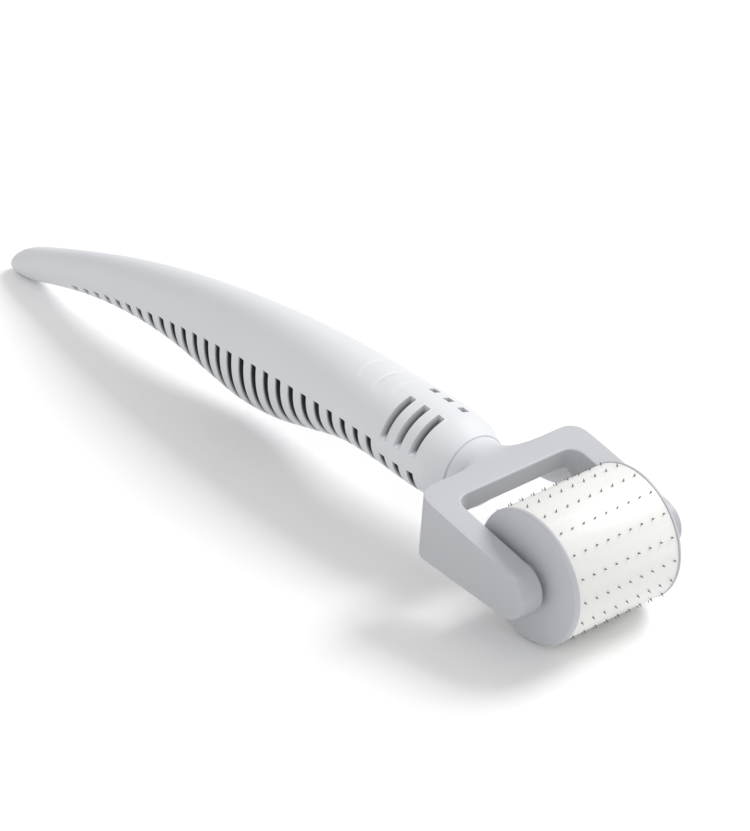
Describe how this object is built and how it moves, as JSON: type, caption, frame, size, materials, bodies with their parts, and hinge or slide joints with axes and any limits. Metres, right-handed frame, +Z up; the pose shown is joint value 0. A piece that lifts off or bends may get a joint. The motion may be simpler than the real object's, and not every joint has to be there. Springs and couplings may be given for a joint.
{
  "type": "derma roller",
  "caption": "Hand-held derma roller: a free-turning white drum set with fine steel needles, in a grey plastic fork on a slim arched handle with slotted grip.",
  "frame": {"origin": "under the middle of the object, on the surface that it lies on", "axes": "+X from the handle's tail to the drum, +Y to the left along the drum's axle, +Z up"},
  "size_m": [0.14, 0.0296, 0.0211],
  "materials": {
    "handle_plastic": "cool light grey moulded plastic, satin",
    "fork_plastic": "cool light grey moulded plastic, satin",
    "sleeve_plastic": "white, slightly translucent moulded plastic",
    "core_plastic": "natural white moulded plastic, hidden",
    "cap_plastic": "cool grey moulded plastic, satin",
    "needle_steel": "ground stainless steel"
  },
  "bodies": {
    "grip": {"handle": "handle_plastic", "fork": "fork_plastic"},
    "roller": {"drum_sleeve": "sleeve_plastic", "drum_core": "core_plastic", "cap_right": "cap_plastic", "cap_left": "cap_plastic", "needle_row_01": "needle_steel", "needle_row_02": "needle_steel", "needle_row_03": "needle_steel", "needle_row_04": "needle_steel", "needle_row_05": "needle_steel", "needle_row_06": "needle_steel", "needle_row_07": "needle_steel", "needle_row_08": "needle_steel", "needle_row_09": "needle_steel", "needle_row_10": "needle_steel", "needle_row_11": "needle_steel", "needle_row_12": "needle_steel", "needle_row_13": "needle_steel", "needle_row_14": "needle_steel", "needle_row_15": "needle_steel", "needle_row_16": "needle_steel", "needle_row_17": "needle_steel", "needle_row_18": "needle_steel"}
  },
  "joints": [
    {"name": "roller_spin", "type": "hinge", "parent": "grip", "child": "roller", "pos_m": [0.0596, 0, 0.01028], "axis": [0, 1, 0], "continuous": true}
  ]
}
